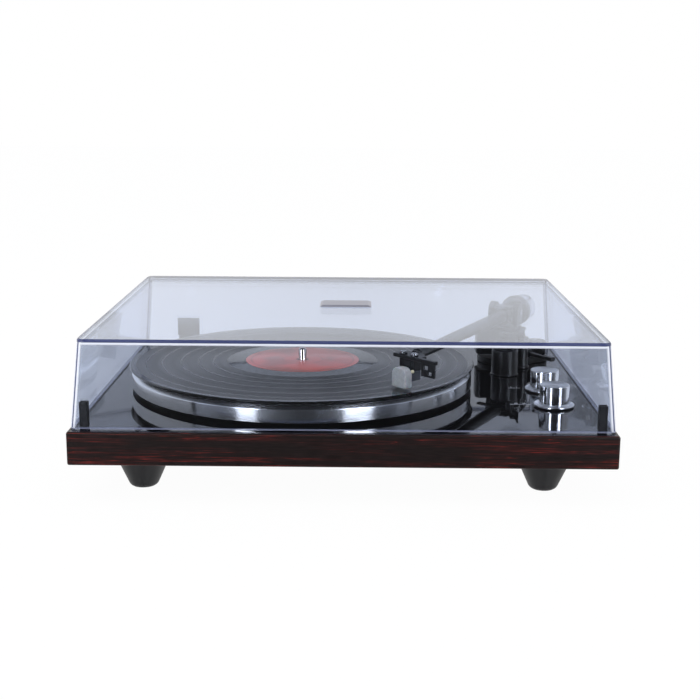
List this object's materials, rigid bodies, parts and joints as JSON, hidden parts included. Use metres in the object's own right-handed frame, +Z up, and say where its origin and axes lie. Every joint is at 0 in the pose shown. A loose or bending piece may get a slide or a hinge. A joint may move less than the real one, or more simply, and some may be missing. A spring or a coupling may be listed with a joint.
{
  "type": "turntable record player",
  "caption": "Belt-drive record player on a wooden plinth with cone feet, a tonearm with counterweight and cueing lever, control knobs and a clear hinged dust cover.",
  "frame": {"origin": "on the floor, at the centre of the plinth's footprint", "axes": "+X to the right seen from the front, along the longest side; -Y towards the front; +Z up, along the shortest side"},
  "size_m": [0.42, 0.35, 0.1272],
  "materials": {
    "rosewood_veneer": "satin lacquered dark rosewood veneer",
    "gloss_black": "polished black sheet",
    "satin_black": "satin black paint",
    "dark_grey_plastic": "fine moulded texture",
    "black_rubber": "matt",
    "polished_aluminium": "turned and polished",
    "steel": "bright zinc plated",
    "chrome": "mirror plated",
    "brass": "turned, satin",
    "vinyl": "glossy pressed grooves",
    "clear_acrylic": "clear, faintly blue",
    "milky_plastic": "translucent",
    "circuit_board": "solder mask",
    "badge_grey": "satin silver grey"
  },
  "bodies": {
    "root": {"plinth": "rosewood_veneer", "top_plate": "gloss_black", "base_plate": "dark_grey_plastic", "foot_front_left": "dark_grey_plastic", "foot_front_right": "dark_grey_plastic", "foot_rear_left": "dark_grey_plastic", "foot_rear_right": "dark_grey_plastic", "foot_screw_front_left": "steel", "foot_screw_front_right": "steel", "foot_screw_rear_left": "steel", "foot_screw_rear_right": "steel", "bearing_housing": "brass", "motor": "steel", "motor_plate": "steel", "drive_belt": "black_rubber", "control_board": "circuit_board", "terminal_panel": "steel", "phono_jack_left": "brass", "phono_jack_right": "brass", "ground_post": "steel", "ground_nut": "chrome", "dc_inlet": "satin_black", "speed_switch": "dark_grey_plastic", "power_switch": "dark_grey_plastic", "hinge_bracket_left": "satin_black", "hinge_bracket_right": "satin_black", "hinge_pin_left": "steel", "hinge_pin_right": "steel", "arm_base_collar": "satin_black", "arm_tower": "satin_black", "cue_housing": "satin_black", "arm_rest": "satin_black"},
    "platter": {"spindle_shaft": "chrome", "platter": "polished_aluminium", "platter_mat": "black_rubber", "vinyl_record": "vinyl"},
    "rotor": {"motor_pulley": "brass"},
    "lid": {"dust_cover": "clear_acrylic", "cover_badge": "badge_grey", "bumper_left": "black_rubber", "bumper_right": "black_rubber", "hinge_leaf_left": "satin_black", "hinge_leaf_right": "satin_black"},
    "speed_knob": {"speed_knob": "chrome"},
    "power_knob": {"power_knob": "chrome"},
    "arm_carrier": {"arm_yoke": "satin_black"},
    "arm": {"pivot_block": "satin_black", "arm_tube": "satin_black", "headshell": "satin_black", "cartridge": "satin_black", "stylus_holder": "dark_grey_plastic", "counterweight_stub": "steel"},
    "guard": {"stylus_guard": "milky_plastic"},
    "bush": {"weight_bush": "brass"},
    "weight": {"counterweight": "steel"},
    "dial": {"force_dial": "satin_black"},
    "lift": {"lift_bar": "satin_black"},
    "lever": {"cue_lever": "satin_black"},
    "anti_skate": {"anti_skate_knob": "satin_black"}
  },
  "joints": [
    {"name": "platter_spin", "type": "hinge", "parent": "root", "child": "platter", "pos_m": [-0.038, -0.0094, 0.0596], "axis": [0, 0, 1], "continuous": true},
    {"name": "motor_spin", "type": "hinge", "parent": "root", "child": "rotor", "pos_m": [-0.105, 0.0578, 0.06], "axis": [0, 0, 1], "continuous": true},
    {"name": "lid_hinge", "type": "hinge", "parent": "root", "child": "lid", "pos_m": [0, 0.1705, 0.0602], "axis": [-1, 0, 0], "range_deg": [0, 60]},
    {"name": "speed_knob_turn", "type": "hinge", "parent": "root", "child": "speed_knob", "pos_m": [0.1735, -0.0844, 0.06], "axis": [0, 0, 1], "range_deg": [-60, 0]},
    {"name": "power_knob_turn", "type": "hinge", "parent": "root", "child": "power_knob", "pos_m": [0.1735, -0.0297, 0.06], "axis": [0, 0, 1], "range_deg": [-60, 0]},
    {"name": "arm_swing", "type": "hinge", "parent": "root", "child": "arm_carrier", "pos_m": [0.1528, 0.0896, 0.09], "axis": [0, 0, 1], "range_deg": [-21, 26]},
    {"name": "arm_lift", "type": "hinge", "parent": "arm_carrier", "child": "arm", "pos_m": [0.1528, 0.0896, 0.1047], "axis": [-0.891, 0.454, 0], "range_deg": [0, 3.5]},
    {"name": "lift_bar_rise", "type": "slide", "parent": "root", "child": "lift", "axis": [0, 0, 1], "range_m": [0, 0.002]},
    {"name": "cue_lever_turn", "type": "hinge", "parent": "root", "child": "lever", "pos_m": [0.17257, 0.0647, 0.0687], "axis": [-0.8151, -0.5793, 0], "range_deg": [0, 30]},
    {"name": "counterweight_travel", "type": "slide", "parent": "arm", "child": "bush", "axis": [0.454, 0.891, 0], "range_m": [-0.001, 0.003]},
    {"name": "counterweight_turn", "type": "hinge", "parent": "bush", "child": "weight", "pos_m": [0.1528, 0.0896, 0.1012], "axis": [0.454, 0.891, 0], "range_deg": [-180, 540]},
    {"name": "dial_turn", "type": "hinge", "parent": "weight", "child": "dial", "pos_m": [0.1528, 0.0896, 0.1012], "axis": [0.454, 0.891, 0], "range_deg": [-180, 180]},
    {"name": "stylus_guard_slide", "type": "slide", "parent": "arm", "child": "guard", "axis": [-0.7478, -0.6639, 0], "range_m": [0, 0.012]},
    {"name": "anti_skate_turn", "type": "hinge", "parent": "root", "child": "anti_skate", "pos_m": [0.183, 0.092, 0.07], "axis": [0, 0, 1], "range_deg": [-270, 0]}
  ],
  "couplings": [
    {"joint": "motor_spin", "follows": "platter_spin", "ratio": 10},
    {"joint": "lift_bar_rise", "follows": "arm_lift", "m_per_rad": 0.0325},
    {"joint": "cue_lever_turn", "follows": "arm_lift", "ratio": 8.5},
    {"joint": "counterweight_turn", "follows": "counterweight_travel", "rad_per_m": 3141.5}
  ]
}
